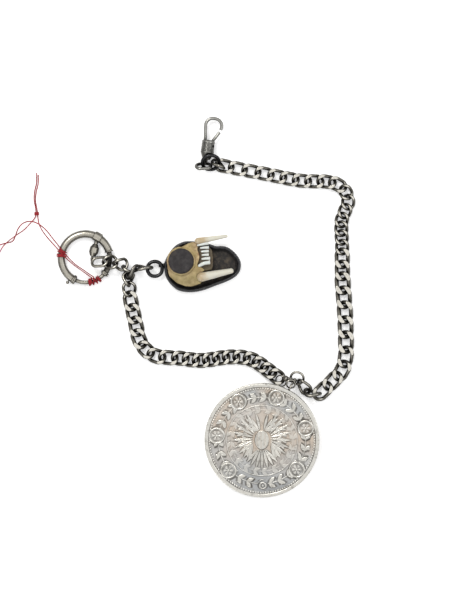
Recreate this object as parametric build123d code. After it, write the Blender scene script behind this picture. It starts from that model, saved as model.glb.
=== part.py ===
from build123d import *
from math import acos, atan2, cos, degrees, hypot, radians, sin, tan
import os

# Pocket watch chain laid out flat on the floor z = 0, +Z up, millimetres.
# Angles are in degrees, headings are counted from +X towards +Y.

MIDDLE = (0.685, 0.086)             # middle of the whole layout, moved to the origin

# ---- curb links: (half length, half diagonal, wire diameter) ----
FINE_LINK = (2.73, 2.30, 1.05)      # near the watch clip
SHORT_LINK = (2.18, 2.35, 0.98)     # where the long run bunches up
MIDDLE_LINK = (2.84, 2.40, 1.25)    # open run below the button ring
CLOSE_LINK = (2.40, 2.45, 1.18)     # bunched run along the bottom
HEAVY_LINK = (3.14, 2.50, 1.35)     # the long run down to the coin
LAST_LINK = (3.10, 2.55, 1.18)      # round the corner above the coin
CORNER_LINK = (2.74, 2.50, 1.10)    # round the corner of the bottom run
HEAD_LINK = (2.18, 2.50, 0.95)      # first links below the button ring
TWIST = 42.0                        # turn of each link end about its length
FULLNESS = 0.95                     # share of the end taken by its two bends
FLAT = 0.46                         # height of the filed flats, as a share of the diagonal

# Where the links lie: link number -> (x, y) of its middle. The links between
# two of these are spread along a smooth line.
RIGHT_LAY = {
    1: (6.25, 44.32), 4: (18.8, 41.9), 7: (30.5, 39.7), 9: (38.2, 39.4),
    10: (41.7, 38.5), 11: (44.3, 36.1), 12: (45.0, 33.0), 14: (43.0, 27.4),
    17: (43.1, 18.9), 20: (43.3, 7.6), 22: (44.0, -1.5), 25: (44.2, -15.5),
    26: (43.0, -19.8), 28: (37.0, -26.1),
}
LEFT_LAY = {
    6: (-23.1, 2.0), 8: (-21.4, -5.9), 9: (-20.5, -9.8), 10: (-18.4, -13.2),
    11: (-15.1, -15.2), 13: (-7.6, -15.9), 15: (-1.1, -16.6), 18: (8.3, -15.5),
    20: (14.8, -16.3), 23: (22.6, -21.6),
}
RIGHT_COUNT = 28
LEFT_COUNT = 23
RIGHT_FINE_TO = 10
RIGHT_SHORT_TO = 17
RIGHT_MIDDLE_TO = 19
RIGHT_HEAVY_TO = 24
LEFT_HEAD_TO = 5
LEFT_MIDDLE_TO = 9
LEFT_CORNER_TO = 12

# Links and rings that stand or lean, as (x, y, z, heading, tilt, roll).
LEFT_HEAD = {
    1: (-29.46, 14.25, 3.67, -6.2, 8.0, 3.1),
    2: (-26.31, 13.61, 3.18, -12.5, 13.8, 32.2),
    3: (-24.30, 11.12, 2.53, -57.1, 2.4, 70.4),
    4: (-23.75, 8.95, 2.30, -86.5, 12.8, 134.1),
    5: (-23.51, 5.75, 1.62, -84.2, 8.5, 168.5),
}
SWIVEL_LOOP = ((2.50, 1.55, 0.90, 0.0), (-32.82, 14.29, 3.14, 3.4, -21.0, -30.1))
BRANCH_LINK_1 = ((2.30, 2.30, 0.95, 30.0), (-22.32, 11.38, 3.20, 43.5, -6.8, 84.4))
BRANCH_LINK_2 = ((2.60, 2.40, 0.95, 20.0), (-19.02, 12.44, 2.77, 0.0, 3.5, 96.7))
PENDANT_EYE = ((2.30, 2.30, 1.15, 0.0), (-15.55, 12.09, 2.11, 0.0, 1.2, 0.0))
CLIP_BOW = ((2.30, 1.60, 1.00, 0.0), (-0.30, 44.25, 2.09, 3.5, 4.7, -60.4))
CLIP_RING = ((2.60, 2.60, 1.10, 0.0), (1.95, 45.35, 3.06, 0.0, 6.0, 35.0))
RIGHT_LINK_0 = ((2.10, 1.70, 0.95, 25.0), (4.36, 44.85, 1.97, -36.2, -14.4, 114.0))
HANGER_EYE = ((1.75, 1.75, 0.40, 0.0), (23.95, -22.97, 1.45, 94.2, -19.2, -29.1))
HANGER_RING = ((2.00, 2.00, 0.75, 0.0), (28.98, -22.08, 2.88, -18.6, -1.0, 23.2))
HANGER_LINK = ((2.50, 2.20, 0.95, 25.0), (31.01, -24.69, 2.49, -50.5, -1.1, 50.0))
RIGHT_LINK_29 = ((2.40, 2.30, 1.15, 25.0), (33.75, -26.74, 2.77, -6.3, 12.7, 106.8))
BAIL_SEAT = 0.02  # solder film between the bail and the coin
COIN_BAIL = ((1.35, 1.35, 0.60, 0.0), (26.89, -24.75, 4.95, 61.3, 0.0, 90.0))
HANGER_DROP = ((1.30, 1.20, 0.50, 0.0), (26.98, -23.91, 4.40, -1.7, 2.0, 0.0))

BAR_ENDS = ((25.5, -22.2, 3.2), (28.2, -22.9, 3.2))
BAR_R = 0.80
BAR_WAIST_R = 0.62

# ---- coin ----
COIN_AT = (18.0, -41.5)
COIN_R = 18.0
COIN_T = 2.3
COIN_RIM = 1.1
COIN_RECESS = 0.18
COIN_LEAN = 6.5                     # its edge rests on the last links
COIN_HIGH_SIDE = 62.0               # direction of the raised edge
ROUNDEL_R = 2.5
ROUNDEL_CIRCLE = 14.2
ROUNDEL_ANGLES = (121.0, 71.5, 16.0, -40.0, -89.0, -138.0, 174.0)

# ---- watch clip, in its own axes: u across, v along from the barrel's foot ----
CLIP_AT = (0.56, 46.3, 2.1)
CLIP_LEAN = -7.4
BARREL_R = 2.08
BARREL_TOP = 6.1
BARREL_SHOULDER = 2.2
BARREL_FOOT_R = 1.15
GROOVES = 6
HOOK_R = 0.5
HOOK_LINE = ((-1.0, 5.0), (-1.85, 13.2), (3.75, 12.9), (3.3, 9.7))
HOOK_BEND = 2.2
GATE_PIVOT = (0.85, 5.3)
GATE_NOSE = (3.02, 9.0)
GATE_R = 0.48
GATE_PIN_R = 0.22
BOW_STEM_R = 0.5
BOW_STEM_IN = 1.2
RUNNING = 0.04                      # radial clearance of pins and stems

# ---- button ring ----
RING_AT = (-37.25, 15.43, 1.5)
RING_R = 7.6
TUBE_R = 1.17
BORE_R = 0.68
BOLT_R = 0.6
TUBE_FROM = 17.0
TUBE_TO = 238.0
BORE_FROM = 150.0
SLOT_FROM = 160.0
SLOT_TO = 235.5
SLOT_WIDTH = 0.62
LUG_ANGLE = 233.3
LUG_R = 0.22
LUG_REACH = 9.5
LUG_KNOB_R = 0.5
BOLT_TAIL = 222.0
BOLT_TIP = 320.0
TAIL_BARREL = -18.0
TAIL_RIBS = -35.0
TAIL_END = -43.0
EYE_ANGLE = 60.3
EYE_BORE = 1.24
EYE_OUTER = 1.5
EYE_LENGTH = 2.3
SWIVEL_HEADING = -105.0
NECK_R = 0.62
BEAD_FROM = 2.35
BEAD_TO = 6.2
BEAD_R = 1.45
LOOP_STEM_R = 0.4
LOOP_STEM_IN = 1.0

# ---- pendant ----
TRAY_OUTLINE = (
    (-12.8, 12.0), (-10.6, 18.2), (-5.2, 20.9), (2.0, 20.2), (7.0, 19.0),
    (10.6, 16.2), (11.5, 12.0), (9.0, 8.9), (2.0, 5.8), (-5.8, 4.6), (-11.0, 7.2),
)
TRAY_FLOOR = 1.0
TRAY_HEIGHT = 3.4
TRAY_WALL = 0.9
TRAY_CORNER_R = 3.5
JAW_OUTLINE = (
    (-11.2, 12.2), (-9.6, 17.2), (-5.2, 19.6), (-2.2, 19.4), (-2.4, 16.0),
    (-2.6, 12.4), (-0.6, 8.2), (-5.4, 6.1), (-9.8, 8.2),
)
JAW_CORNER_R = 1.4
JAW_TOP = 4.6
DISC_AT = (-7.3, 14.5)
DISC_R = 3.95
DISC_TOP = 5.5
DISC_RIM = 0.55
CANINES = (
    ((-2.0, 20.8, 4.4), (7.3, 22.4, 3.6), 1.05, 0.55),
    ((-0.9, 9.5, 4.6), (9.1, 11.6, 3.6), 1.5, 0.85),
)
INCISOR_Y = (19.1, 17.95, 16.85, 15.8, 14.65, 13.0)
INCISOR_X = -0.1
INCISOR_Z = 4.3
INCISOR_LENGTH = 3.9
INCISOR_R = 0.5

# ---- tag thread, cotton, limp ----
THREAD_D = 0.32
THREAD_SHORT = (
    (-34.9, 9.0, 2.4), (-36.2, 9.95, 2.5), (-38.4, 11.55, 2.7), (-40.6, 13.1, 2.85),
    (-43.1, 15.2, 3.1), (-45.3, 17.6, 2.88), (-46.6, 19.0, 0.85), (-48.4, 20.9, 0.3),
    (-50.3, 23.2, 0.3), (-51.6, 25.3, 0.62), (-52.2, 27.4, 0.5), (-52.45, 30.6, 0.45),
    (-53.1, 33.4, 0.25), (-52.8, 36.4, 0.25), (-52.0, 39.0, 0.25), (-52.15, 41.6, 0.25),
)
THREAD_LONG = (
    (-34.6, 9.5, 2.45), (-36.0, 10.4, 2.55), (-38.2, 12.0, 2.7), (-40.5, 13.5, 2.85),
    (-42.8, 15.8, 3.1), (-44.9, 18.3, 3.0), (-46.1, 19.8, 0.85), (-47.8, 21.9, 0.25),
    (-49.6, 24.3, 0.2), (-51.6, 26.0, 0.2), (-54.2, 27.2, 0.2), (-56.8, 26.7, 0.2),
    (-58.5, 24.9, 0.2), (-59.3, 22.4, 0.2), (-60.1, 20.5, 0.2), (-62.4, 20.2, 0.2),
    (-65.0, 19.4, 0.2), (-67.2, 17.7, 0.2), (-66.3, 15.6, 0.2), (-64.4, 16.9, 0.3),
    (-63.4, 19.0, 0.55), (-61.3, 21.0, 0.62), (-58.7, 22.9, 0.62), (-56.4, 24.4, 0.5),
    (-54.6, 26.4, 0.62), (-52.9, 28.2, 0.5), (-52.8, 30.8, 0.45),
    (-53.5, 33.4, 0.25), (-53.3, 36.6, 0.25), (-52.5, 39.4, 0.25), (-52.7, 42.2, 0.25),
)
KNOT_AT = (-52.61, 29.4, 0.5)
KNOT_HEADING = 93.0
HITCH_ANGLE = -67.0
COIL_GAP = 0.1


def smooth(lay, number):
    """Place of one link among the stated ones, on a cubic through them."""
    keys = sorted(lay)
    k = max(i for i in range(len(keys) - 1) if keys[i] <= number)
    n0, n1 = keys[k], keys[k + 1]
    before = keys[max(k - 1, 0)]
    after = keys[min(k + 2, len(keys) - 1)]
    span = n1 - n0
    u = (number - n0) / span
    place = []
    for axis in (0, 1):
        p0, p1 = lay[n0][axis], lay[n1][axis]
        m0 = span * (p1 - lay[before][axis]) / (n1 - before)
        m1 = span * (lay[after][axis] - p0) / (after - n0)
        value = (2 * u**3 - 3 * u**2 + 1) * p0 + (u**3 - 2 * u**2 + u) * m0
        value += (3 * u**2 - 2 * u**3) * p1 + (u**3 - u**2) * m1
        place.append(value)
    return tuple(place)


def put(shape, x, y, z, heading, tilt=0.0, roll=0.0):
    """Move a shape from its own axes to its place on the floor."""
    turn = Rot(0, 0, heading) * Rot(0, tilt, 0) * Rot(roll, 0, 0)
    return Pos(x, y, z) * turn * shape


def wire_loop(half_length, diagonal, wire, twist):
    """Closed wire link: two round ends, each turned about the link's length."""
    y = diagonal * cos(radians(twist))
    z = diagonal * sin(radians(twist))
    turn = acos(-z * z / (hypot(half_length, z) * hypot(y, z)))
    radius = FULLNESS * diagonal / tan(turn / 2)
    halves = []
    for end in (-1, 1):
        corners = (
            (0, -end * y, 0),
            (end * half_length, -end * y, z),
            (end * half_length, end * y, -z),
            (0, end * y, 0),
        )
        path = FilletPolyline(*corners, radius=min(radius, FULLNESS * half_length))
        section = Plane(origin=path @ 0, z_dir=path % 0) * Circle(wire / 2)
        halves.append(sweep(section, path=path))
    return halves[0] + halves[1]


def half_height(size):
    """Half the height of a curb link between its filed flats."""
    return FLAT * size[1]


def curb_link(size):
    """Twisted link with the flats filed on its high spots."""
    half_length, diagonal, wire = size
    slab = Box(4 * half_length, 4 * diagonal, 2 * half_height(size))
    return wire_loop(half_length, diagonal, wire, TWIST) & slab


def right_size(number):
    if number <= RIGHT_FINE_TO:
        return FINE_LINK
    if number <= RIGHT_SHORT_TO:
        return SHORT_LINK
    if number <= RIGHT_MIDDLE_TO:
        return MIDDLE_LINK
    if number <= RIGHT_HEAVY_TO:
        return HEAVY_LINK
    return LAST_LINK


def left_size(number):
    if number <= LEFT_HEAD_TO:
        return HEAD_LINK
    if number <= LEFT_MIDDLE_TO:
        return MIDDLE_LINK
    if number <= LEFT_CORNER_TO:
        return CORNER_LINK
    return CLOSE_LINK


def flat_pose(lay, number, first, last, size):
    """Pose of a link lying on the floor, facing along the chain."""
    x, y = smooth(lay, number)
    back = smooth(lay, max(number - 1, first))
    ahead = smooth(lay, min(number + 1, last))
    heading = degrees(atan2(ahead[1] - back[1], ahead[0] - back[0]))
    return (x, y, half_height(size), heading)


def right_link(number):
    size = right_size(number)
    pose = flat_pose(RIGHT_LAY, number, 1, RIGHT_COUNT, size)
    return put(curb_link(size), *pose)


def left_link(number):
    size = left_size(number)
    pose = LEFT_HEAD.get(number)
    if pose is None:
        first = max(LEFT_HEAD) + 1
        pose = flat_pose(LEFT_LAY, number, first, LEFT_COUNT, size)
    return put(curb_link(size), *pose)


def placed_loop(stated):
    size, pose = stated
    return put(wire_loop(*size), *pose)


def bend(radius, start, end, section_r):
    """Round bar bent about the origin between two angles."""
    path = CenterArc((0, 0), radius, start, end - start)
    section = Plane(origin=path @ 0, z_dir=path % 0) * Circle(section_r)
    return sweep(section, path=path)


def on_circle(radius, angle):
    return (radius * cos(radians(angle)), radius * sin(radians(angle)), 0)


def rod(start, end, radius):
    """Round rod between two points."""
    axis = Vector(*end) - Vector(*start)
    plane = Plane(origin=start, z_dir=axis)
    return extrude(plane * Circle(radius), amount=axis.length)


def at_ring(shape):
    return Pos(*RING_AT) * shape


# ---- button ring ----
def ring_tube():
    tube = bend(RING_R, TUBE_FROM, TUBE_TO, TUBE_R)
    tube -= bend(RING_R, BORE_FROM, TUBE_TO + 2, BORE_R)
    slot = Rot(0, 0, SLOT_FROM) * revolve(
        Plane.XZ * Pos(RING_R + 1, 0) * Rectangle(2, SLOT_WIDTH),
        axis=Axis.Z,
        revolution_arc=SLOT_TO - SLOT_FROM,
    )
    return at_ring(tube - slot)


def ring_tail():
    """Narrow end of the ring: flared rim, neck, barrel, ribs and socket."""
    tail = bend(RING_R, TUBE_FROM - 2, TUBE_FROM, TUBE_R + 0.25)
    tail += bend(RING_R, TAIL_BARREL - 1, TUBE_FROM - 1, 0.8)
    tail += bend(RING_R, TAIL_END, TAIL_BARREL, 0.95)
    for start in (TAIL_RIBS, TAIL_RIBS - 3.6):
        tail += bend(RING_R, start - 2.4, start, 1.4)
    tail -= bend(RING_R, TAIL_END - 1, TAIL_RIBS - 2, BORE_R)
    return at_ring(tail)


def ring_collar():
    """Ribbed ferrule at the mouth of the hollow tube."""
    collar = bend(RING_R, TUBE_TO, TUBE_TO + 8, 1.25)
    for start in (TUBE_TO + 0.8, TUBE_TO + 4.4):
        collar += bend(RING_R, start, start + 2.2, 1.5)
    return at_ring(collar - bend(RING_R, TUBE_TO - 1, TUBE_TO + 9, BORE_R))


def ring_bolt():
    bolt = bend(RING_R, BOLT_TAIL, BOLT_TIP, BOLT_R)
    inner = on_circle(RING_R, LUG_ANGLE)
    outer = on_circle(LUG_REACH, LUG_ANGLE)
    bolt += rod(inner, outer, LUG_R)
    bolt += Pos(*outer) * Sphere(LUG_KNOB_R)
    return at_ring(bolt)


def swivel_eye():
    """Band round the tube with the swivel's neck below it."""
    centre = on_circle(RING_R, EYE_ANGLE)
    tangent = Vector(-sin(radians(EYE_ANGLE)), cos(radians(EYE_ANGLE)), 0)
    plane = Plane(origin=centre, z_dir=tangent)
    band = extrude(plane * Circle(EYE_OUTER), amount=EYE_LENGTH / 2, both=True)
    way = Vector(*on_circle(1, SWIVEL_HEADING))
    start = Vector(*centre) + way * (EYE_BORE + 0.1)
    end = Vector(*centre) + way * BEAD_FROM
    band += rod(tuple(start), tuple(end), NECK_R)
    band -= bend(RING_R, EYE_ANGLE - 15, EYE_ANGLE + 15, EYE_BORE)
    return at_ring(band)


def swivel_bead():
    """Faceted barrel bead on the neck."""
    centre = on_circle(RING_R, EYE_ANGLE)
    length = BEAD_TO - BEAD_FROM
    profile = make_face(
        Polyline(
            (0, 0), (0.75, 0), (BEAD_R, length * 0.3), (BEAD_R, length * 0.7),
            (0.8, length), (0, length), close=True,
        )
    )
    body = revolve(Plane.XZ * profile, axis=Axis.Z)
    body &= extrude(RegularPolygon(BEAD_R, 8, major_radius=False), amount=length)
    body -= rod((0, 0, length - LOOP_STEM_IN - 0.1), (0, 0, length + 1), LOOP_STEM_R + RUNNING)
    way = Vector(*on_circle(1, SWIVEL_HEADING))
    start = Vector(*centre) + way * BEAD_FROM
    return at_ring(Plane(origin=start, x_dir=(0, 0, 1), z_dir=way) * body)


def swivel_loop():
    """Wire loop of the swivel with the stem that turns in the bead."""
    foot = Vector(*RING_AT) + Vector(*on_circle(RING_R, EYE_ANGLE))
    way = Vector(*on_circle(1, SWIVEL_HEADING))
    top = foot + way * (BEAD_TO - LOOP_STEM_IN)
    knee = foot + way * (BEAD_TO + 0.9)
    (half_length, diagonal, wire, twist), pose = SWIVEL_LOOP
    loop = placed_loop(SWIVEL_LOOP)
    left_end = put(Pos(-half_length, 0, 0) * Sphere(wire / 2), *pose).center()
    stem = rod(tuple(top), tuple(knee), LOOP_STEM_R) + Pos(*knee) * Sphere(LOOP_STEM_R)
    return loop + stem + rod(tuple(knee), tuple(left_end), LOOP_STEM_R)


# ---- watch clip ----
def at_clip(shape):
    return Pos(*CLIP_AT) * Rot(0, 0, CLIP_LEAN) * shape


def clip_body():
    profile = make_face(
        Polyline(
            (0, 0), (BARREL_FOOT_R, 0), (BARREL_R, BARREL_SHOULDER),
            (BARREL_R, BARREL_TOP - 0.4), (BARREL_R - 0.3, BARREL_TOP),
            (0, BARREL_TOP), close=True,
        )
    )
    barrel = revolve(profile, axis=Axis.Y)
    pitch = (BARREL_TOP - BARREL_SHOULDER - 1.0) / GROOVES
    for i in range(GROOVES):
        v = BARREL_SHOULDER + 0.5 + i * pitch
        groove = Pos(0, v, 0) * Rot(90, 0, 0) * Torus(BARREL_R + 0.08, 0.2)
        barrel -= groove
    line = FilletPolyline(*HOOK_LINE, radius=HOOK_BEND)
    hook = sweep(Plane(origin=line @ 0, z_dir=line % 0) * Circle(HOOK_R), path=line)
    u, v = GATE_PIVOT
    width = 2 * (GATE_R + 0.1)
    slot = Pos(u + 0.75, v + 0.7, 0) * Box(2.7, 3.6, width)
    notch = Pos(u + 1.0, v - 0.9, 1.4) * Cylinder(0.5, 2.0)
    pin_hole = Pos(u, v, 0) * Cylinder(GATE_PIN_R, 3.0)
    stem_hole = rod((0, -1, 0), (0, BOW_STEM_IN + 0.2, 0), BOW_STEM_R + RUNNING)
    return at_clip(barrel + hook - slot - notch - pin_hole - stem_hole)


def clip_gate():
    pivot = (*GATE_PIVOT, 0)
    gate = rod(pivot, (*GATE_NOSE, 0), GATE_R) + Pos(*pivot) * Sphere(GATE_R)
    return at_clip(gate - Pos(*pivot) * Cylinder(GATE_PIN_R + RUNNING, 3))


def clip_gate_pin():
    return at_clip(Pos(*GATE_PIVOT, 0) * Cylinder(GATE_PIN_R, 3.0))


def clip_bow():
    """Bow below the barrel with the stem that turns in the barrel's foot."""
    x, y, z = CLIP_BOW[1][:3]
    stem = at_clip(rod((0, BOW_STEM_IN, 0), (0, -0.35, 0), BOW_STEM_R))
    knee = at_clip(Pos(0, -0.35, 0) * Sphere(BOW_STEM_R))
    start = knee.center()
    return placed_loop(CLIP_BOW) + stem + knee + rod(start, (x + 0.1, y + 0.8, z - 1.2), BOW_STEM_R)


# ---- pendant ----
def outline(points, corner_r):
    """Flat face with the stated corners, each rounded."""
    face = make_face(Polyline(*points, close=True))
    return fillet(face.vertices(), corner_r)


def pendant_tray():
    rim = outline(TRAY_OUTLINE, TRAY_CORNER_R)
    tray = extrude(rim, amount=TRAY_HEIGHT)
    inner = offset(rim, amount=-TRAY_WALL)
    return tray - Pos(0, 0, TRAY_FLOOR) * extrude(inner, amount=TRAY_HEIGHT)


def jaw_bone():
    jaw = Pos(0, 0, TRAY_FLOOR) * extrude(
        outline(JAW_OUTLINE, JAW_CORNER_R), amount=JAW_TOP - TRAY_FLOOR
    )
    boss = Pos(*DISC_AT, TRAY_FLOOR) * Cylinder(
        DISC_R + DISC_RIM, DISC_TOP - TRAY_FLOOR - 0.4, align=ON_FLOOR
    )
    pocket = Pos(*DISC_AT, JAW_TOP - 0.6) * Cylinder(DISC_R, 4, align=ON_FLOOR)
    return jaw + boss - pocket


def jaw_disc():
    depth = DISC_TOP - JAW_TOP + 0.6
    return Pos(*DISC_AT, JAW_TOP - 0.6) * Cylinder(DISC_R, depth, align=ON_FLOOR)


def canine(root, tip, root_r, tip_r):
    """Blunt tapering tooth with a rounded tip and root."""
    axis = Vector(*tip) - Vector(*root)
    plane = Plane(origin=root, z_dir=axis)
    end = axis.length - tip_r
    body = loft([plane * Circle(root_r), plane.offset(end) * Circle(tip_r)])
    return body + plane.offset(end) * Sphere(tip_r) + plane * Sphere(root_r)


def incisor(y):
    x = INCISOR_X - INCISOR_LENGTH / 2
    crown = Pos(x + INCISOR_R, y, INCISOR_Z) * Sphere(INCISOR_R)
    start = (x + INCISOR_R, y, INCISOR_Z)
    return crown + rod(start, (x + INCISOR_LENGTH, y, INCISOR_Z), INCISOR_R)


# ---- coin and its hanger ----
def at_coin(shape):
    rise = COIN_R * sin(radians(COIN_LEAN)) + COIN_T / 2 * cos(radians(COIN_LEAN))
    turn = Rot(0, 0, COIN_HIGH_SIDE) * Rot(0, -COIN_LEAN, 0) * Rot(0, 0, -COIN_HIGH_SIDE)
    return Pos(*COIN_AT, rise) * turn * shape


def coin():
    disc = Cylinder(COIN_R, COIN_T)
    for side in (-1, 1):
        top = side * (COIN_T / 2)
        field = Cylinder(COIN_R - COIN_RIM, 2 * COIN_RECESS)
        disc -= Pos(0, 0, top) * field
    face = COIN_T / 2 - COIN_RECESS
    for angle in ROUNDEL_ANGLES:
        x, y = on_circle(ROUNDEL_CIRCLE, angle)[:2]
        disc += Pos(x, y, face - 0.2) * Cylinder(ROUNDEL_R, 0.3, align=ON_FLOOR)
    disc += Pos(0, 0, face - 0.2) * Cylinder(10.4, 0.28, align=ON_FLOOR)
    return at_coin(disc)


def coin_bail():
    seat = Cylinder(COIN_R + BAIL_SEAT, COIN_T + 2 * BAIL_SEAT)
    return placed_loop(COIN_BAIL) - at_coin(seat)


def hanger_bar():
    """Turned bar between the two runs, with a bead at each end and one between."""
    axis = Vector(*BAR_ENDS[1]) - Vector(*BAR_ENDS[0])
    half = axis.length / 2
    profile = make_face(
        Polyline(
            (0, -half - 0.7), (0.45, -half - 0.7), (0.92, -half - 0.25), (0.92, -half + 0.15),
            (BAR_WAIST_R, -half + 0.55), (BAR_WAIST_R, -0.55), (BAR_R, -0.25), (BAR_R, 0.25),
            (BAR_WAIST_R, 0.55), (BAR_WAIST_R, half - 0.5), (0.85, half - 0.15),
            (0.85, half + 0.2), (0.45, half + 0.6), (0, half + 0.6), close=True,
        )
    )
    bar = revolve(Plane.XZ * profile, axis=Axis.Z)
    middle = (Vector(*BAR_ENDS[0]) + Vector(*BAR_ENDS[1])) / 2
    return Plane(origin=middle, z_dir=axis) * bar


# ---- thread ----
def thread_path(points):
    """Straight runs joined by arcs, each arc as wide as its runs allow."""
    spots = [Vector(*p) for p in points]
    radii = []
    for a, b, c in zip(spots, spots[1:], spots[2:]):
        turn = radians((b - a).get_angle(c - b))
        run = min((b - a).length, (c - b).length)
        radii.append(0.45 * run / tan(turn / 2))
    print("thread bends, mm:", [round(r, 2) for r in radii])
    return FilletPolyline(*spots, radius=radii)


def thread(points):
    path = thread_path(points)
    section = Plane(origin=path @ 0, z_dir=path % 0) * Circle(THREAD_D / 2)
    print("thread length, mm:", round(path.length, 1))
    return sweep(section, path=path)


def coils(inner_r, count, spacing):
    """Turns of thread drawn tight beside one another, along +Z."""
    turns = Torus(inner_r + THREAD_D / 2, THREAD_D / 2)
    for i in range(1, count):
        turns += Pos(0, 0, i * spacing) * Torus(inner_r + THREAD_D / 2, THREAD_D / 2)
    return turns


def thread_knot():
    x, y = on_circle(1, KNOT_HEADING)[:2]
    plane = Plane(origin=KNOT_AT, z_dir=(x, y, 0))
    return plane * Pos(0, 0, -0.35) * coils(THREAD_D + COIL_GAP, 4, 0.24)


def thread_hitch():
    centre = on_circle(RING_R, HITCH_ANGLE)
    way = on_circle(1, HITCH_ANGLE + 90)
    plane = Plane(origin=centre, z_dir=way)
    return at_ring(plane * Pos(0, 0, -0.75) * coils(BOLT_R + RUNNING, 7, 0.25))


ON_FLOOR = (Align.CENTER, Align.CENTER, Align.MIN)


def pair(maker, number):
    return Compound([maker(number), maker(number + 1)])


def all_parts():
    parts = {}
    for n in range(1, RIGHT_COUNT, 2):
        parts[f"right_links_{n:02d}_{n + 1:02d}"] = pair(right_link, n)
    parts["left_link_01"] = left_link(1)
    for n in range(2, LEFT_COUNT, 2):
        parts[f"left_links_{n:02d}_{n + 1:02d}"] = pair(left_link, n)
    loops = {
        "branch_link_1": BRANCH_LINK_1, "branch_link_2": BRANCH_LINK_2,
        "pendant_eye": PENDANT_EYE, "clip_ring": CLIP_RING,
        "right_link_00": RIGHT_LINK_0, "right_link_29": RIGHT_LINK_29,
        "hanger_eye": HANGER_EYE, "hanger_ring": HANGER_RING,
        "hanger_link": HANGER_LINK, "hanger_drop": HANGER_DROP,
    }
    for name, stated in loops.items():
        parts[name] = placed_loop(stated)
    parts["hanger_bar"] = hanger_bar()
    parts["hanger_eye"] -= parts["hanger_bar"]
    parts["hanger_ring"] -= parts["hanger_bar"]
    parts["hanger_drop"] -= parts["hanger_bar"]
    parts["pendant_tray"] = pendant_tray()
    parts["pendant_eye"] -= parts["pendant_tray"]
    makers = (
        ring_tube, ring_tail, ring_collar, ring_bolt, swivel_eye, swivel_bead,
        swivel_loop, clip_body, clip_gate, clip_gate_pin, clip_bow,
        jaw_bone, jaw_disc, coin, coin_bail, thread_knot, thread_hitch,
    )
    for maker in makers:
        parts[maker.__name__] = maker()
    parts["canines"] = Compound([canine(*c) for c in CANINES])
    parts["incisors"] = Compound([incisor(y) for y in INCISOR_Y])
    parts["jaw_bone"] -= parts["pendant_tray"]
    for tooth in parts["canines"].solids() + parts["incisors"].solids():
        parts["jaw_bone"] -= tooth
    parts["thread_short"] = thread(THREAD_SHORT)
    parts["thread_long"] = thread(THREAD_LONG)
    return parts


os.makedirs("parts", exist_ok=True)
for name, shape in all_parts().items():
    shape = Pos(-MIDDLE[0], -MIDDLE[1], 0) * shape
    export_step(shape, f"parts/{name}.step")
    print(name, len(shape.solids()), round(shape.volume, 2))
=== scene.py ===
import math

import bmesh
import bpy
import numpy as np
from mathutils import Matrix, Vector


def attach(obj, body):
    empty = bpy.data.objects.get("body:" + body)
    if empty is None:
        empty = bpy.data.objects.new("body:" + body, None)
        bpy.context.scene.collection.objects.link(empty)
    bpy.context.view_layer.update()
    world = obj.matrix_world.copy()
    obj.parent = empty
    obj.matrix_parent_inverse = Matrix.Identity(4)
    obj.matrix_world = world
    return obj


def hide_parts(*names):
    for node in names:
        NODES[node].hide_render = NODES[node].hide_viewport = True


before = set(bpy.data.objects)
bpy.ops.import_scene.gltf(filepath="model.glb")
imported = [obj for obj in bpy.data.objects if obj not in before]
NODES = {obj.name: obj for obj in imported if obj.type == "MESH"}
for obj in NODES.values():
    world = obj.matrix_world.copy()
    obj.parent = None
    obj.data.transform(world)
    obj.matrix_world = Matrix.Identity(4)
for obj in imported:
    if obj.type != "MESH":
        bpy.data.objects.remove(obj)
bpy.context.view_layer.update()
MM = 0.001
MIDDLE = (0.685, 0.086)             # middle of the layout, in millimetres


def mm(x, y, z):
    """A point of the layout, given in millimetres, in the frame's metres."""
    return Vector(((x - MIDDLE[0]) * MM, (y - MIDDLE[1]) * MM, z * MM))


def placed(name, data):
    """New object in the scene."""
    made = bpy.data.objects.new(name, data)
    bpy.context.scene.collection.objects.link(made)
    return made


def as_seen(made):
    """The object's mesh with its modifiers or curve settings worked out."""
    return bpy.data.meshes.new_from_object(made.evaluated_get(bpy.context.evaluated_depsgraph_get()))


def from_build(name, build):
    """New object from a finished bmesh."""
    mesh = bpy.data.meshes.new(name)
    build.to_mesh(mesh)
    build.free()
    return placed(name, mesh)


def round_curve(name, radius, around, kind, count):
    """Curve with a round section and one spline, ready for its points."""
    data = bpy.data.curves.new(name, "CURVE")
    data.dimensions = "3D"
    data.bevel_depth = radius
    data.bevel_resolution = around
    data.use_fill_caps = True
    spline = data.splines.new(kind)
    spline.points.add(count - 1)
    if kind == "NURBS":
        spline.order_u = 3
        spline.use_endpoint_u = True
    return data, spline


# ---- camera and light ----
VIEW_CENTRE = (0.00573, 0.00226, 0.0)
VIEW_HEIGHT = 0.1878
CAMERA_UP = 1.1
VIEW_LEVEL = 0.002                  # height over the floor at which the view is VIEW_HEIGHT tall
SENSOR = 36.0

camera_data = bpy.data.cameras.new("camera")
camera = placed("camera", camera_data)
camera.location = (VIEW_CENTRE[0], VIEW_CENTRE[1], CAMERA_UP)
camera_data.sensor_fit = "VERTICAL"
camera_data.sensor_height = SENSOR
camera_data.lens = SENSOR * (CAMERA_UP - VIEW_LEVEL) / VIEW_HEIGHT
camera_data.clip_start = 0.01
camera_data.clip_end = 10.0
bpy.context.scene.camera = camera


def area_light(name, place, size, power, colour=(1, 1, 1)):
    """Square light aimed at the middle of the floor."""
    data = bpy.data.lights.new(name, "AREA")
    data.shape = "SQUARE"
    data.size = size
    data.energy = power
    data.color = colour
    light = placed(name, data)
    light.location = place
    aim = -Vector(place)
    light.rotation_euler = aim.to_track_quat("-Z", "Y").to_euler()


area_light("key", (-0.30, 0.50, 0.80), 0.30, 3.6, (1.0, 0.99, 0.96))
area_light("fill", (0.65, 0.10, 0.60), 0.45, 1.2, (0.97, 0.98, 1.0))
area_light("low", (-0.45, -0.55, 0.40), 0.30, 0.8)

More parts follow.
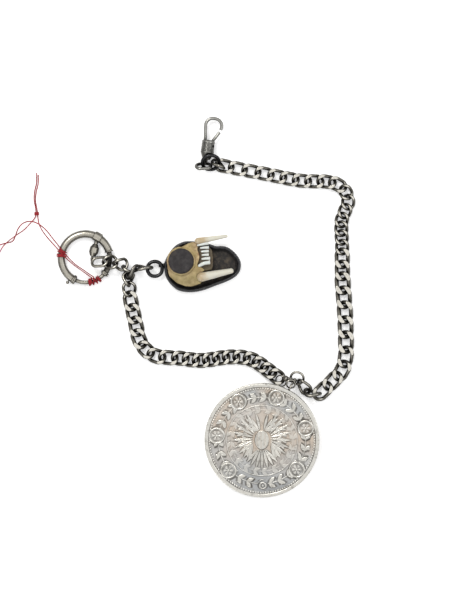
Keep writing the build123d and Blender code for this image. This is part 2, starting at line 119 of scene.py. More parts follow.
bpy.context.scene.view_settings.view_transform = "Standard"     # keeps the paper white

WORLD_LOW = 0.12                    # brightness at the horizon
WORLD_HIGH = 1.00                   # brightness overhead
world = bpy.data.worlds.new("studio")
bpy.context.scene.world = world
world.use_nodes = True
world_tree = world.node_tree
world_coords = world_tree.nodes.new("ShaderNodeTexCoord")
world_split = world_tree.nodes.new("ShaderNodeSeparateXYZ")
world_range = world_tree.nodes.new("ShaderNodeMapRange")
world_range.inputs["From Min"].default_value = 0.05
world_range.inputs["From Max"].default_value = 0.85
world_range.inputs["To Min"].default_value = WORLD_LOW
world_range.inputs["To Max"].default_value = WORLD_HIGH
world_tree.links.new(world_coords.outputs["Generated"], world_split.inputs[0])
world_tree.links.new(world_split.outputs["Z"], world_range.inputs["Value"])
world_tree.nodes["Background"].inputs["Color"].default_value = (1.0, 1.0, 1.0, 1.0)
world_tree.links.new(world_range.outputs["Result"], world_tree.nodes["Background"].inputs["Strength"])


# ---- material helpers ----
class Net:
    """Short way to write a node tree."""

    def __init__(self, name):
        self.material = bpy.data.materials.new(name)
        self.material.use_nodes = True
        self.tree = self.material.node_tree
        self.shader = self.tree.nodes["Principled BSDF"]
        self.coords = self.tree.nodes.new("ShaderNodeTexCoord").outputs["Object"]

    def link(self, source, socket):
        self.tree.links.new(source, socket)

    def put(self, value, socket):
        if isinstance(value, bpy.types.NodeSocket):
            self.link(value, socket)
        elif isinstance(value, tuple) and len(value) == 3 and len(socket.default_value) == 4:
            socket.default_value = (*value, 1.0)
        else:
            socket.default_value = value

    def noise(self, scale, detail=4.0, rough=0.55, distort=0.0, stretch=None):
        node = self.tree.nodes.new("ShaderNodeTexNoise")
        node.inputs["Scale"].default_value = scale
        node.inputs["Detail"].default_value = detail
        node.inputs["Roughness"].default_value = rough
        node.inputs["Distortion"].default_value = distort
        coords = self.coords
        if stretch:
            mapping = self.tree.nodes.new("ShaderNodeMapping")
            mapping.inputs["Scale"].default_value = stretch
            self.link(coords, mapping.inputs["Vector"])
            coords = mapping.outputs["Vector"]
        self.link(coords, node.inputs["Vector"])
        return node.outputs["Fac"]

    def ramp(self, value, low, high, out_low=0.0, out_high=1.0):
        node = self.tree.nodes.new("ShaderNodeMapRange")
        node.inputs["From Min"].default_value = low
        node.inputs["From Max"].default_value = high
        node.inputs["To Min"].default_value = out_low
        node.inputs["To Max"].default_value = out_high
        self.link(value, node.inputs["Value"])
        return node.outputs["Result"]

    def mix(self, factor, a, b):
        node = self.tree.nodes.new("ShaderNodeMix")
        node.data_type = "RGBA"
        self.put(factor, node.inputs["Factor"])
        self.put(a, node.inputs[6])
        self.put(b, node.inputs[7])
        return node.outputs[2]

    def maths(self, op, a, b):
        node = self.tree.nodes.new("ShaderNodeMath")
        node.operation = op
        self.put(a, node.inputs[0])
        self.put(b, node.inputs[1])
        return node.outputs[0]

    def hollow(self, distance):
        """1 in the open and 0 deep in a crease."""
        node = self.tree.nodes.new("ShaderNodeAmbientOcclusion")
        node.samples = 8
        node.inputs["Distance"].default_value = distance
        return node.outputs["AO"]

    def facing_up(self):
        """Z of the surface's own normal, before any turn of the body."""
        node = self.tree.nodes.new("ShaderNodeTexCoord")
        split = self.tree.nodes.new("ShaderNodeSeparateXYZ")
        self.link(node.outputs["Normal"], split.inputs[0])
        return split.outputs["Z"]

    def along(self, axis):
        """Place along X, Y or Z in the piece's own frame, in metres."""
        split = self.tree.nodes.new("ShaderNodeSeparateXYZ")
        self.link(self.coords, split.inputs[0])
        return split.outputs[axis]

    def attribute(self, name):
        node = self.tree.nodes.new("ShaderNodeAttribute")
        node.attribute_name = name
        return node.outputs["Fac"]

    def bump(self, height, distance, strength, soft_edge=None):
        node = self.tree.nodes.new("ShaderNodeBump")
        node.inputs["Distance"].default_value = distance
        node.inputs["Strength"].default_value = strength
        self.link(height, node.inputs["Height"])
        if soft_edge:
            bevel = self.tree.nodes.new("ShaderNodeBevel")
            bevel.samples = 6
            bevel.inputs["Radius"].default_value = soft_edge
            self.link(bevel.outputs["Normal"], node.inputs["Normal"])
        self.link(node.outputs["Normal"], self.shader.inputs["Normal"])

    def finish(self, colour, metallic, roughness):
        self.put(colour, self.shader.inputs["Base Color"])
        self.put(metallic, self.shader.inputs["Metallic"])
        self.put(roughness, self.shader.inputs["Roughness"])
        return self.material


FILED = (0.76, 0.73, 0.655)         # colour of the filed flats
HOLLOW_REACH = 0.0026               # how far a neighbour or the floor still darkens the metal, with oxide in hollows and painted shade
SOFT_EDGE = 0.00008                 # radius of the softened edges


def silver(name, bright, dark, oxide_and_shade, worn, filed=False):
    """Oxidised silver: bright where it rubs and on filed flats, with a painted highlight on surfaces
    facing up; dark with oxide and painted shade in hollows, and with painted shade near the floor.
    """
    net = Net(name)
    patches = net.ramp(net.noise(330.0, 5.0), 0.5 - worn * 0.28, 0.72)
    # painted highlight: surfaces facing up are lightened towards the bright colour, on top of the worn
    # patches
    up = net.ramp(net.facing_up(), 0.72, 0.97)
    # painted shade near the floor and beside neighbouring pieces, together with the real oxide in the
    # hollows
    air = net.hollow(HOLLOW_REACH)
    open_air = net.ramp(air, 0.40, 0.93)
    wear_and_top_highlight = net.maths("MAXIMUM", net.maths("MULTIPLY", patches, worn), up)
    wear_and_top_highlight = net.maths("MULTIPLY", wear_and_top_highlight, net.ramp(air, 0.60, 1.0))
    colour = net.mix(wear_and_top_highlight, dark, bright)
    colour = net.mix(open_air, oxide_and_shade, colour)
    if filed:
        flat = net.maths("MULTIPLY", net.ramp(net.facing_up(), 0.94, 0.995), net.ramp(air, 0.30, 0.60))
        flat = net.maths("MULTIPLY", flat, net.ramp(net.noise(700.0, 4.0), 0.30, 0.55, 0.75, 1.0))
        colour = net.mix(flat, colour, FILED)
    specks = net.ramp(net.noise(2600.0, 3.0), 0.58, 0.72)
    colour = net.mix(net.maths("MULTIPLY", specks, 0.5), colour, oxide_and_shade)
    fine = net.noise(1900.0, 6.0, 0.65, 0.0, (1.0, 0.35, 1.0))
    rough = net.ramp(wear_and_top_highlight, 0.0, 1.0, 0.48, 0.24)
    net.bump(fine, 0.00003, 0.55, SOFT_EDGE)
    return net.finish(colour, 1.0, rough)


LINK = silver(
    "link_silver", (0.34, 0.325, 0.28), (0.085, 0.079, 0.067), (0.010, 0.009, 0.0075), 0.3, filed=True,
)
DARK_LINK = silver(
    "link_silver_dark", (0.30, 0.285, 0.25), (0.060, 0.056, 0.048), (0.009, 0.008, 0.007), 0.25,
)
BLACK = silver(
    "blackened_metal", (0.050, 0.050, 0.052), (0.012, 0.012, 0.013), (0.003, 0.003, 0.003), 0.15,
)
PALE = silver(
    "ring_silver", (0.46, 0.435, 0.375), (0.12, 0.112, 0.096), (0.010, 0.009, 0.008), 0.45,
)
CLIP = silver(
    "clip_metal", (0.36, 0.355, 0.33), (0.12, 0.117, 0.108), (0.012, 0.011, 0.010), 0.55,
)
HANGER = silver(
    "hanger_silver", (0.50, 0.475, 0.42), (0.11, 0.103, 0.088), (0.010, 0.009, 0.008), 0.5,
)


def cotton(name, light, deep):
    """Spun thread, lighter on its strands."""
    net = Net(name)
    strands = net.noise(5200.0, 3.0, 0.6)
    shade = net.noise(500.0, 2.0)
    colour = net.mix(net.ramp(strands, 0.35, 0.65), deep, light)
    colour = net.mix(net.ramp(shade, 0.35, 0.75), colour, light)
    net.bump(strands, 0.00006, 0.8)
    net.shader.inputs["Sheen Weight"].default_value = 0.05
    net.shader.inputs["Sheen Roughness"].default_value = 0.5
    return net.finish(colour, 0.0, 0.88)


THREAD = cotton("red_cotton", (0.33, 0.008, 0.016), (0.13, 0.003, 0.005))


# ---- carried-over CAD nodes ----
def paint(node, material):
    """Gives a CAD piece one material."""
    mesh = NODES[node].data
    mesh.materials.clear()
    mesh.materials.append(material)


DARK_NODES = (
    "right_link_00", "right_link_29", "hanger_link", "branch_link_1", "branch_link_2",
)
BLACK_NODES = ("pendant_eye", "clip_ring", "pendant_tray", "jaw_disc")
CLIP_NODES = ("clip_body", "clip_gate", "clip_gate_pin", "clip_bow")
PALE_NODES = (
    "ring_tube", "ring_collar", "ring_bolt", "ring_tail", "swivel_eye", "swivel_bead", "swivel_loop",
)
HANGER_NODES = ("hanger_bar", "hanger_eye", "hanger_ring", "hanger_drop", "coin_bail")
THREAD_NODES = ("thread_knot", "thread_hitch")
for group, material in (
    (sorted(NODES), LINK), (DARK_NODES, DARK_LINK), (BLACK_NODES, BLACK), (CLIP_NODES, CLIP),
    (PALE_NODES, PALE), (HANGER_NODES, HANGER), (THREAD_NODES, THREAD),
):
    for node in group:
        paint(node, material)


# ---- tag thread ----
THREAD_R = 0.16
THREAD_SHORT = (
    (-34.9, 9.0, 2.4), (-36.2, 9.95, 2.5), (-38.4, 11.55, 2.7), (-40.6, 13.1, 2.85),
    (-43.1, 15.2, 3.1), (-45.3, 17.6, 2.88), (-46.6, 19.0, 0.85), (-48.4, 20.9, 0.3),
    (-50.3, 23.2, 0.3), (-51.6, 25.3, 0.62), (-52.2, 27.4, 0.5), (-52.45, 30.6, 0.45),
    (-53.1, 33.4, 0.25), (-52.8, 36.4, 0.25), (-52.0, 39.0, 0.25), (-52.15, 41.6, 0.25),
)
THREAD_LONG = (
    (-34.6, 9.5, 2.45), (-36.0, 10.4, 2.55), (-38.2, 12.0, 2.7), (-40.5, 13.5, 2.85),
    (-42.8, 15.8, 3.1), (-44.9, 18.3, 3.0), (-46.1, 19.8, 0.85), (-47.8, 21.9, 0.25),
    (-49.6, 24.3, 0.2), (-51.6, 26.0, 0.2), (-54.2, 27.2, 0.2), (-56.8, 26.7, 0.2),
    (-58.5, 24.9, 0.2), (-59.3, 22.4, 0.2), (-60.1, 20.5, 0.2), (-62.4, 20.2, 0.2),
    (-65.0, 19.4, 0.2), (-67.2, 17.7, 0.2), (-66.3, 15.6, 0.2), (-64.4, 16.9, 0.3),
    (-63.4, 19.0, 0.55), (-61.3, 21.0, 0.62), (-58.7, 22.9, 0.62), (-56.4, 24.4, 0.5),
    (-54.6, 26.4, 0.62), (-52.9, 28.2, 0.5), (-52.8, 30.8, 0.45),
    (-53.5, 33.4, 0.25), (-53.3, 36.6, 0.25), (-52.5, 39.4, 0.25), (-52.7, 42.2, 0.25),
)


def thread(name, points, node):
    """Thread lying on its route, as one open curve."""
    data, spline = round_curve(name, THREAD_R * MM, 3, "NURBS", len(points))
    data.resolution_u = 10
    for spot, point in zip(spline.points, points):
        spot.co = (*mm(*point), 1.0)
    curve = placed(name, data)
    data.materials.append(THREAD)
    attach(curve, "ring")
    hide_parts(node)


thread("tag_thread_short", THREAD_SHORT, "thread_short")
thread("tag_thread_long", THREAD_LONG, "thread_long")


# ---- coin ----
COIN_AT = (18.0, -41.5)
COIN_R = 18.0
COIN_T = 2.3
BEADS = 132                         # beads inside the rim
BEAD_RING_R = 16.4
ROUNDEL_RING_R = 14.2
HUB_R = 0.12                        # where a face's grid starts
FACE_R = 17.0                       # where the rings across the face end
RIM_R = (17.12, 17.82)              # where the rings across the rim start and end
EDGE_HALF = 1.12                    # half height of the edge band
AROUND = 720                        # points in one turn of the grid
FACE_STEPS = 162                    # rings across the face
RIM_STEPS = 8                       # rings across the rim
EDGE_LEVELS = (0.94, 0.6, 0.0, -0.6, -0.94)     # rings of the edge, as shares of EDGE_HALF
EDGE_WEAR = 0.7
EDGE_DIRT = 0.25
COIN_LEAN = math.radians(6.5)
COIN_HIGH_SIDE = math.radians(62.0)
COIN_FIELD = 0.97                   # height of the sunk field above the coin's middle plane
COIN_RISE = COIN_R * math.sin(COIN_LEAN) + COIN_T / 2 * math.cos(COIN_LEAN)
COIN_PLACE = (
    Matrix.Translation(mm(*COIN_AT, COIN_RISE))
    @ Matrix.Rotation(COIN_HIGH_SIDE, 4, "Z")
    @ Matrix.Rotation(-COIN_LEAN, 4, "Y")
    @ Matrix.Rotation(-COIN_HIGH_SIDE, 4, "Z")
    @ Matrix.Scale(MM, 4)
)
ROUNDEL_ANGLES = (121.0, 71.5, 16.0, -40.0, -138.0, 174.0)


def step(value, low, high):
    """Smooth rise from 0 to 1 between two values."""
    t = np.clip((value - low) / (high - low), 0.0, 1.0)
    return t * t * (3 - 2 * t)


def ridge(distance, width):
    """Rounded ridge of the stated half width."""
    return np.sqrt(np.clip(1.0 - (distance / width) ** 2, 0.0, 1.0))


def leaf(x, y, cx, cy, heading, length, width, vein=0.35):
    """Pointed leaf with a sunk midrib; 1 at its crest."""
    c, s = math.cos(heading), math.sin(heading)
    along = ((x - cx) * c + (y - cy) * s) / length
    across = (-(x - cx) * s + (y - cy) * c) / width
    span = np.clip(1.0 - (2 * along - 1.0) ** 2, 0.0, 1.0)
    body = np.clip(1.0 - (across / np.maximum(span, 1e-6)) ** 2, 0.0, 1.0) * (span > 0.02)
    rib = 1.0 - vein * np.exp(-((across / 0.16) ** 2))
    return np.sqrt(body) * rib * step(span, 0.0, 0.35)


def wreath(x, y, radius, count, rng):
    """Leaves in pairs along a ring stem, with berries between."""
    height = ridge(np.hypot(x, y) - radius, 0.16) * 0.6
    for k in range(count):
        angle = 2 * math.pi * (k + 0.15 * rng.random()) / count
        cx, cy = radius * math.cos(angle), radius * math.sin(angle)
        for side in (-1, 1):
            turn = angle + math.pi / 2 + side * (0.62 + 0.12 * rng.random())
            size = 2.3 + 0.5 * rng.random()
            height = np.maximum(height, leaf(x, y, cx, cy, turn, size, 0.62))
        bx, by = (radius + 1.35) * math.cos(angle + 0.05), (radius + 1.35) * math.sin(angle + 0.05)
        height = np.maximum(height, 0.9 * ridge(np.hypot(x - bx, y - by), 0.26))
    return height


def spray(x, y):
    """Even spray of long leaves round an oval boss: two side fans and a lower fan."""
    height = np.zeros_like(x)
    for side in (-1, 1):
        for k in range(9):
            lift = math.radians(66 - 17.5 * k)
            heading = lift if side > 0 else math.pi - lift
            start = (side * (2.0 + 0.10 * k), 2.4 - 0.45 * k)
            size = 7.4 - 0.16 * abs(k - 2) ** 1.4
            blade = leaf(x, y, *start, heading, size, 0.50, 0.45)
            height = np.maximum(height, blade * (0.96 - 0.03 * (k % 2)))
            for row, share in ((0, 0.30), (1, 0.52)):
                sx = start[0] + share * size * math.cos(heading)
                sy = start[1] + share * size * math.sin(heading)
                twig = heading + side * (-0.5 if row else 0.5)
                height = np.maximum(height, 0.8 * leaf(x, y, sx, sy, twig, 2.1, 0.34, 0.3))
    for k in range(7):
        heading = math.radians(-90 + 14 * (k - 3))
        size = 6.6 - 0.25 * abs(k - 3)
        height = np.maximum(height, leaf(x, y, 0.35 * (k - 3), -2.6, heading, size, 0.45, 0.45))
    for side in (-1, 1):
        for k in range(4):
            heading = math.pi / 2 - side * math.radians(14 + 20 * k)
            size = 5.6 - 0.7 * k
            blade = leaf(x, y, side * (0.5 + 0.2 * k), 3.0, heading, size, 0.42, 0.4)
            height = np.maximum(height, 0.85 * blade)
    boss = 1.0 - (x / 2.2) ** 2 - ((y - 0.2) / 3.0) ** 2
    oval = step(boss, 0.0, 0.12)
    bars = 0.55 + 0.25 * (np.sin(x * 5.2) > 0) + 0.2 * (boss < 0.22)
    return np.where(boss > 0, oval * bars, height)


def roundels(x, y, height):
    """Rosettes in rings round the coin, and one small plain stamp below."""
    for angle in ROUNDEL_ANGLES:
        a = math.radians(angle)
        dx, dy = x - ROUNDEL_RING_R * math.cos(a), y - ROUNDEL_RING_R * math.sin(a)
        d = np.hypot(dx, dy)
        own = d < 2.6
        rim = ridge(d - 2.3, 0.26)
        petals = 0.75 * ridge(d - 0.95, 0.62) * (0.55 + 0.45 * np.cos(6 * np.arctan2(dy, dx)))
        seed = 0.9 * ridge(d, 0.38)
        dots = 0.5 * ridge(d - 1.85, 0.16)
        height = np.where(own, np.maximum(np.maximum(rim, petals), np.maximum(seed, dots)), height)
    stamp = np.hypot(x - 0.25, y + ROUNDEL_RING_R)
    inner = 0.7 * ridge(stamp - 0.95, 0.22) + 0.6 * ridge(stamp, 0.4)
    return np.where(stamp < 1.75, inner, height)


def beading(x, y):
    """Row of beads inside the rim."""
    share = (np.arctan2(y, x) / (2 * math.pi) * BEADS) % 1.0 - 0.5
    along = share * 2 * math.pi * BEAD_RING_R / BEADS
    return 0.75 * ridge(np.hypot(along, np.hypot(x, y) - BEAD_RING_R), 0.30)


def relief(x, y, rng):
    """Height of the struck face above its field, in millimetres."""
    r = np.hypot(x, y)
    band = step(r, 11.3, 11.6) * (1 - step(r, 15.7, 16.0))
    height = wreath(x, y, 13.6, 26, rng) * band
    height = np.maximum(height, wreath(x, y, 9.7, 20, rng) * 0.55 * (r > 8.7) * (r < 11.0))
    height = np.maximum(height, spray(x, y) * (1 - step(r, 9.9, 10.3)))
    height = np.maximum(height, ridge(r - 11.1, 0.13) * 0.6)
    return np.maximum(roundels(x, y, height), beading(x, y))


def back_relief(x, y, rng):
    """Plain reverse: a wreath, a ring and an even star of leaves."""
    r = np.hypot(x, y)
    height = wreath(x, y, 13.2, 22, rng) * (r > 11.2) * (r < 15.6)
    height = np.maximum(height, ridge(r - 10.4, 0.2) * 0.6)
    for k in range(12):
        heading = math.radians(30 * k)
        start = (1.8 * math.cos(heading), 1.8 * math.sin(heading))
        height = np.maximum(height, leaf(x, y, *start, heading, 7.2, 0.8, 0.4) * (r < 9.6))
    height = np.maximum(height, ridge(r, 1.7) * 0.8)
    return np.maximum(height, beading(x, y))


def coin_mesh():
    """Struck disc: the same fine grid on both faces, plainer relief behind, one closed shell."""
    rng = np.random.default_rng(7)
    angle = np.linspace(0, 2 * math.pi, AROUND, endpoint=False)
    radius = np.concatenate([np.linspace(HUB_R, FACE_R, FACE_STEPS), np.linspace(*RIM_R, RIM_STEPS)])
    verts, faces = [], []
    wear, dirt = [], []

    def band(upper, lower):
        for j in range(AROUND):
            k = (j + 1) % AROUND
            faces.append([upper + j, lower + j, lower + k, upper + k])

    def face_grid(sign, face_relief):
        first = len(verts)
        rr, aa = np.meshgrid(radius, angle, indexing="ij")
        x, y = rr * np.cos(aa), rr * np.sin(aa)
        raised = face_relief(x, y)
        rim = step(rr, 16.72, 16.95)
        drop = 0.05 * step(rr, 17.5, 17.9)
        z = COIN_FIELD + 0.16 * raised * (1 - rim) + 0.17 * rim - drop
        verts.extend(np.stack([x, y, sign * z], -1).reshape(-1, 3).tolist())
        shown = np.clip(raised * (1 - rim) + rim, -0.3, 1.0)
        wear.extend(shown.reshape(-1).tolist())
        above = shown.copy()
        for turn in (-5, -3, 3, 5):
            above = np.maximum(above, np.roll(shown, turn, 1))
        for out in (-2, 2):
            above = np.maximum(above, np.roll(shown, out, 0))
        dirt.extend(np.clip(above - shown, 0.0, 1.0).reshape(-1).tolist())
        verts.append([0.0, 0.0, sign * float(z[0].mean())])
        wear.append(float(raised[0].mean()))
        dirt.append(0.0)
        hub = len(verts) - 1
        for i in range(len(radius) - 1):
            near = first + i * AROUND
            far = near + AROUND
            for j in range(AROUND):
                k = (j + 1) % AROUND
                quad = [near + j, far + j, far + k, near + k]
                faces.append(quad if sign > 0 else quad[::-1])
        for j in range(AROUND):
            tri = [hub, first + j, first + (j + 1) % AROUND]
            faces.append(tri if sign > 0 else tri[::-1])
        return first + (len(radius) - 1) * AROUND

    top = face_grid(1, lambda x, y: relief(x, y, rng))
    low = face_grid(-1, lambda x, y: back_relief(x, y, rng))
    last = top
    for level in EDGE_LEVELS:
        first = len(verts)
        bulge = COIN_R - 0.02 - (0.05 if abs(level) > 0.9 else 0.0)
        for a in angle:
            verts.append([bulge * math.cos(a), bulge * math.sin(a), level * EDGE_HALF])
            wear.append(EDGE_WEAR)
            dirt.append(EDGE_DIRT)
        band(last, first)
        last = first
    band(last, low)
    mesh = bpy.data.meshes.new("coin_struck")
    mesh.from_pydata(verts, [], faces)
    mesh.transform(COIN_PLACE)
    for name, values in (("wear", wear), ("dirt", dirt)):
        layer = mesh.attributes.new(name, "FLOAT", "POINT")
        layer.data.foreach_set("value", np.array(values, np.float32))
    mesh.shade_smooth()
    mesh.update()
    return mesh


def coin_material():
    """Struck silver: pale relief, dirt beside it, warm toning above, painted shade that turns it darker
    and greyer below, and painted shade near the floor and other pieces.
    """
    net = Net("struck_silver")
    raised = net.ramp(net.attribute("wear"), 0.05, 0.75)
    grime = net.ramp(net.attribute("dirt"), 0.12, 0.75)
    warm = net.ramp(net.noise(62.0, 3.0, 0.5), 0.44, 0.58)
    warm = net.maths("MULTIPLY", warm, net.ramp(net.along("Y"), -53.0 * MM, -44.0 * MM, 0.25, 1.0))
    base = net.mix(warm, (0.46, 0.465, 0.46), (0.57, 0.475, 0.385))
    # painted shade: darker and greyer towards the bottom of the coin
    painted_shade_below = net.ramp(net.along("Y"), -57.0 * MM, -41.0 * MM, 0.65, 0.0)
    base = net.mix(painted_shade_below, base, (0.31, 0.32, 0.33))
    light = net.mix(raised, base, (0.66, 0.64, 0.585))
    cloud = net.ramp(net.noise(170.0, 4.0, 0.6), 0.40, 0.66)
    light = net.mix(net.maths("MULTIPLY", cloud, 0.35), light, (0.72, 0.71, 0.68))
    patchy = net.ramp(net.noise(240.0, 4.0, 0.6), 0.35, 0.62, 0.35, 0.95)
    colour = net.mix(net.maths("MULTIPLY", grime, patchy), light, (0.10, 0.092, 0.080))
    # painted shade where the floor and other pieces come near
    open_air = net.ramp(net.hollow(0.0012), 0.35, 0.80)
    colour = net.mix(open_air, (0.07, 0.065, 0.06), colour)
    spots = net.ramp(net.noise(800.0, 6.0, 0.7), 0.52, 0.66)
    colour = net.mix(net.maths("MULTIPLY", spots, 0.55), colour, (0.20, 0.187, 0.165))
    rough = net.ramp(raised, 0.0, 1.0, 0.44, 0.28)
    net.bump(net.noise(2000.0, 6.0, 0.7), 0.00006, 0.7)
    return net.finish(colour, 1.0, rough)


coin_object = placed("coin_struck", coin_mesh())
coin_object.data.materials.append(coin_material())
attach(coin_object, "coin")
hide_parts("coin")


# ---- pendant: bone, teeth, tray ----
def welded_copy(name, node):
    """New mesh object from a CAD node, welded."""
    build = bmesh.new()
    build.from_mesh(NODES[node].data)
    bmesh.ops.remove_doubles(build, verts=build.verts, dist=1e-6)
    return from_build(name, build)


def settled(made):
    """Applies the object's modifiers to its mesh."""
    mesh = as_seen(made)
    made.modifiers.clear()
    made.data = mesh
    mesh.shade_smooth()
    return made


def sculpt(made, voxel, rounds, bumps):
    """Remeshes, rounds and roughens a copied shape."""
    grid = made.modifiers.new("grid", "REMESH")
    grid.mode = "VOXEL"
    grid.voxel_size = voxel
    soft = made.modifiers.new("soft", "SMOOTH")
    soft.factor = 0.6
    soft.iterations = rounds
    for k, (size, depth) in enumerate(bumps):
        cloud = bpy.data.textures.new(f"{made.name}_cloud_{k}", "CLOUDS")
        cloud.noise_scale = size
        cloud.noise_depth = 3
        push = made.modifiers.new(f"push_{k}", "DISPLACE")
        push.texture = cloud
        push.texture_coords = "GLOBAL"
        push.mid_level = 0.62
        push.strength = depth
    return settled(made)


def bone_material():
    """Old bone: tan above, olive below, brown stains, rust near the teeth, with painted shade low down
    and in creases.
    """
    net = Net("old_bone")
    patches = net.ramp(net.noise(260.0, 5.0, 0.6), 0.36, 0.66)
    colour = net.mix(patches, (0.17, 0.105, 0.045), (0.54, 0.40, 0.215))
    yellow = net.ramp(net.noise(140.0, 2.0), 0.50, 0.62)
    colour = net.mix(net.maths("MULTIPLY", yellow, 0.55), colour, (0.44, 0.35, 0.14))
    rust = net.ramp(net.noise(520.0, 3.0, 0.5, 0.6), 0.55, 0.66)
    near_teeth = net.ramp(net.along("X"), -4.6 * MM, -1.0 * MM)
    rust = net.maths("MULTIPLY", rust, near_teeth)
    colour = net.mix(net.maths("MULTIPLY", rust, 0.95), colour, (0.19, 0.046, 0.012))
    # painted shade: the bone turns dark brown low down, below the rim of the tray
    clear_of_painted_shade = net.ramp(net.along("Z"), 3.3 * MM, 4.1 * MM)
    colour = net.mix(clear_of_painted_shade, (0.105, 0.080, 0.048), colour)
    blotch = net.ramp(net.noise(420.0, 5.0, 0.6, 0.8), 0.52, 0.68)
    colour = net.mix(net.maths("MULTIPLY", blotch, 0.6), colour, (0.12, 0.062, 0.024))
    olive = net.ramp(net.along("Y"), 13.0 * MM, 9.0 * MM)
    colour = net.mix(net.maths("MULTIPLY", olive, 0.45), colour, (0.27, 0.235, 0.095))
    # painted shade in creases and where the bone meets the tray and the teeth
    open_air = net.ramp(net.hollow(0.0011), 0.30, 0.80)
    colour = net.mix(open_air, (0.045, 0.028, 0.018), colour)
    pores = net.noise(3000.0, 5.0, 0.7)
    net.bump(pores, 0.00008, 0.8)
    return net.finish(colour, 0.0, net.ramp(patches, 0.0, 1.0, 0.72, 0.5))


def tooth_material(name, enamel, root, root_at, tip_at):
    """Enamel that turns to the root's colour between two places along X, in millimetres."""
    net = Net(name)
    along = net.ramp(net.along("X"), root_at * MM, tip_at * MM)
    stain = net.noise(420.0, 4.0, 0.6, 0.3)
    share = net.maths("ADD", along, net.ramp(stain, 0.3, 0.7, -0.25, 0.25))
    colour = net.mix(net.ramp(share, 0.05, 0.75), root, enamel)
    # painted shade where the teeth meet the bone and each other
    open_air = net.ramp(net.hollow(0.0006), 0.25, 0.75)
    colour = net.mix(open_air, (0.20, 0.12, 0.06), colour)
    lines = net.noise(1500.0, 4.0, 0.6, 0.0, (0.15, 1.0, 1.0))
    net.bump(lines, 0.00004, 0.5)
    net.shader.inputs["Subsurface Weight"].default_value = 0.12
    net.shader.inputs["Subsurface Radius"].default_value = (0.0008, 0.0006, 0.0004)
    net.shader.inputs["Coat Weight"].default_value = 0.25
    return net.finish(colour, 0.0, 0.30)


def pendant_piece(made, material, node):
    """Finishes a piece that rides on the pendant in place of a CAD node."""
    made.data.materials.clear()
    made.data.materials.append(material)
    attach(made, "pendant")
    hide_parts(node)


def smooth_ring(points, per_span):
    """Closed smooth line through the stated points."""
    pts = np.array(points, float)
    count = len(pts)
    line = []
    for i in range(count):
        p0, p1, p2, p3 = (pts[(i + k) % count] for k in (-1, 0, 1, 2))
        curl = 2 * p0 - 5 * p1 + 4 * p2 - p3
        twist = 3 * p1 - p0 - 3 * p2 + p3
        for part in range(per_span):
            t = part / per_span
            line.append(0.5 * (2 * p1 + (p2 - p0) * t + curl * t**2 + twist * t**3))
    return np.array(line)


def circle(centre, radius, count):
    """Points evenly round a circle."""
    turns = np.linspace(0, 2 * math.pi, count, endpoint=False)
    return np.array([(centre[0] + radius * math.cos(a), centre[1] + radius * math.sin(a)) for a in turns])


def inward(line, amount):
    """The closed line moved in by an amount."""
    ahead, behind = np.roll(line, -1, 0), np.roll(line, 1, 0)
    along = ahead - behind
    along /= np.linalg.norm(along, axis=1)[:, None]
    area = 0.5 * np.sum(line[:, 0] * ahead[:, 1] - ahead[:, 0] * line[:, 1])
    side = np.stack([-along[:, 1], along[:, 0]], 1) * (1 if area > 0 else -1)
    return line + side * amount


def shell(name, line, profile):
    """Closed stack of rings from an outline; the profile gives (inset, height) of each, bottom first."""
    build = bmesh.new()
    rings = []
    for inset, height in profile:
        rings.append([build.verts.new(mm(*p, height)) for p in inward(line, inset)])
    count = len(line)
    for low, high in zip(rings, rings[1:]):
        for i in range(count):
            j = (i + 1) % count
            build.faces.new((low[i], low[j], high[j], high[i]))
    for ring_of, height in ((rings[0], profile[0][1]), (rings[-1], profile[-1][1])):
        hub = build.verts.new(mm(*line.mean(0), height))
        for i in range(count):
            build.faces.new((hub, ring_of[i], ring_of[(i + 1) % count]))
    bmesh.ops.recalc_face_normals(build, faces=build.faces)
    return from_build(name, build)


def joined(name, pieces):
    """One object from several, which are used up."""
    build = bmesh.new()
    for piece in pieces:
        build.from_mesh(piece.data)
    for piece in pieces:
        bpy.data.objects.remove(piece)
    return from_build(name, build)


def from_curve(name, data):
    """New mesh object in the shape of a curve."""
    source = placed(name, data)
    mesh = as_seen(source)
    bpy.data.objects.remove(source)
    return placed(name, mesh)


def peg(name, spots, radii):
    """Round tapering peg through the stated places."""
    data, spline = round_curve(name, MM, 6, "NURBS", len(spots))
    data.resolution_u = 12
    for point, spot, radius in zip(spline.points, spots, radii):
        point.co = (*mm(*spot), 1.0)
        point.radius = radius
    return from_curve(name, data)


TRAY_LINE = (
    (-12.58, 11.74), (-12.52, 14.24), (-11.1, 17.06), (-9.2, 19.3), (-7.0, 20.5), (-4.8, 20.8),
    (-1.1, 20.5), (2.0, 19.8), (3.6, 19.25), (5.2, 19.3), (7.0, 19.0), (8.9, 17.8), (10.5, 16.0),
    (11.4, 13.9), (11.1, 11.4), (9.55, 9.5), (7.0, 8.1), (3.3, 6.7), (-0.5, 5.3), (-3.6, 4.75),
    (-6.1, 4.8), (-8.6, 5.5), (-10.8, 7.4), (-12.1, 9.5),
)
TRAY_PROFILE = (
    (0.75, 0.0), (0.22, 0.15), (0.02, 0.7), (0.0, 1.8), (0.04, 2.7), (0.25, 3.18), (0.55, 3.36),
    (0.85, 3.28), (1.05, 2.85), (1.35, 2.1), (1.9, 1.5), (2.8, 1.22),
)
JAW_LINE = (
    (-1.3, 20.3), (-1.9, 19.2), (-2.1, 18.0), (-1.5, 16.4), (-1.8, 14.5), (-2.1, 13.3), (-0.9, 12.6),
    (0.0, 11.6), (-1.2, 10.6), (-1.5, 9.4), (-0.8, 8.1), (-1.9, 7.2), (-4.5, 6.6), (-6.7, 6.8),
    (-9.1, 8.0), (-10.9, 9.7), (-11.5, 12.0), (-11.6, 13.9), (-10.9, 16.0), (-9.1, 17.9),
    (-6.7, 19.3), (-4.2, 20.3), (-2.4, 20.7),
)
